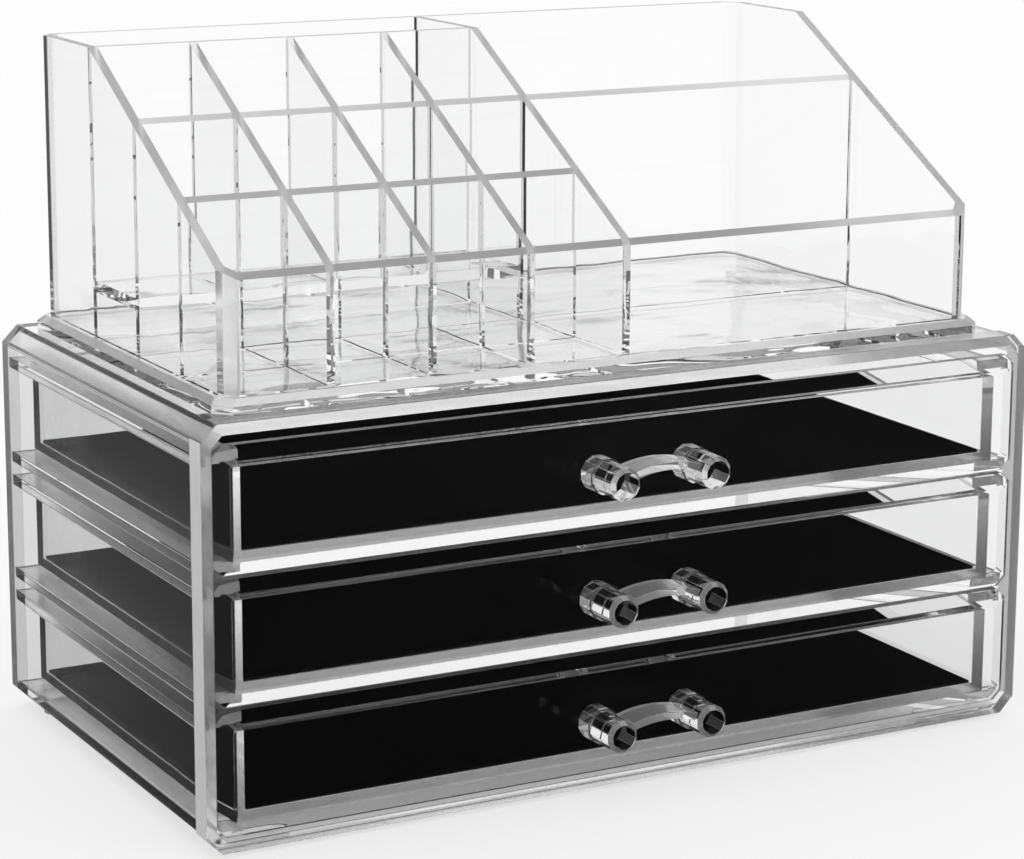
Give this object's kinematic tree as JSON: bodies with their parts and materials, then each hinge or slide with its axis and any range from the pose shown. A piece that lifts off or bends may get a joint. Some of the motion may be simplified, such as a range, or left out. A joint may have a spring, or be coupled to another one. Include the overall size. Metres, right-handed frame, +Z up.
{
  "type": "makeup organizer",
  "caption": "Clear desktop make-up organizer: a cabinet whose drawers slide on side rails, each with a black liner and a bow handle, under a lift-off tray of open compartments",
  "frame": {"origin": "on the surface the feet stand on, under the middle of the outline with the drawers shut and their handles counted", "axes": "+X to the right seen from the front, +Y from the drawer fronts to the back, +Z up"},
  "size_m": [0.24, 0.152, 0.1855],
  "materials": {
    "clear_body": "clear moulded polystyrene or acrylic, polished",
    "clear_front": "clear moulded polystyrene or acrylic, polished, thick",
    "black_liner": "thin black fleece-faced liner"
  },
  "bodies": {
    "cabinet": {"cabinet_body": "clear_body", "front_rim": "clear_body", "back_panel": "clear_body", "foot_front_left": "clear_body", "foot_front_right": "clear_body", "foot_back_left": "clear_body", "foot_back_right": "clear_body", "runner_left_bottom": "clear_body", "runner_left_middle": "clear_body", "runner_left_top": "clear_body", "runner_right_bottom": "clear_body", "runner_right_middle": "clear_body", "runner_right_top": "clear_body", "guide_left_bottom": "clear_body", "guide_left_middle": "clear_body", "guide_left_top": "clear_body", "guide_right_bottom": "clear_body", "guide_right_middle": "clear_body", "guide_right_top": "clear_body"},
    "drawer_bottom": {"box_bottom": "clear_body", "front_bottom": "clear_front", "handle_bottom": "clear_front", "liner_bottom": "black_liner"},
    "drawer_middle": {"box_middle": "clear_body", "front_middle": "clear_front", "handle_middle": "clear_front", "liner_middle": "black_liner"},
    "drawer_top": {"box_top": "clear_body", "front_top": "clear_front", "handle_top": "clear_front", "liner_top": "black_liner"},
    "tray": {"tray_base": "clear_body", "tray_wall_left": "clear_body", "tray_wall_right": "clear_body", "tray_wall_back": "clear_body", "tray_wall_front": "clear_body", "rear_divider": "clear_body", "centre_partition": "clear_body", "slanted_divider_left": "clear_body", "slanted_divider_middle": "clear_body", "slanted_divider_right": "clear_body", "cross_divider_rear": "clear_body", "cross_divider_front": "clear_body", "right_divider": "clear_body", "raised_floor": "clear_body"}
  },
  "joints": [
    {"name": "drawer_bottom_slide", "type": "slide", "parent": "cabinet", "child": "drawer_bottom", "axis": [0, -1, 0], "range_m": [0, 0.11]},
    {"name": "drawer_middle_slide", "type": "slide", "parent": "cabinet", "child": "drawer_middle", "axis": [0, -1, 0], "range_m": [0, 0.11]},
    {"name": "drawer_top_slide", "type": "slide", "parent": "cabinet", "child": "drawer_top", "axis": [0, -1, 0], "range_m": [0, 0.11]},
    {"name": "tray_lift", "type": "slide", "parent": "cabinet", "child": "tray", "axis": [0, 0, 1], "range_m": [0, 0.1]}
  ]
}
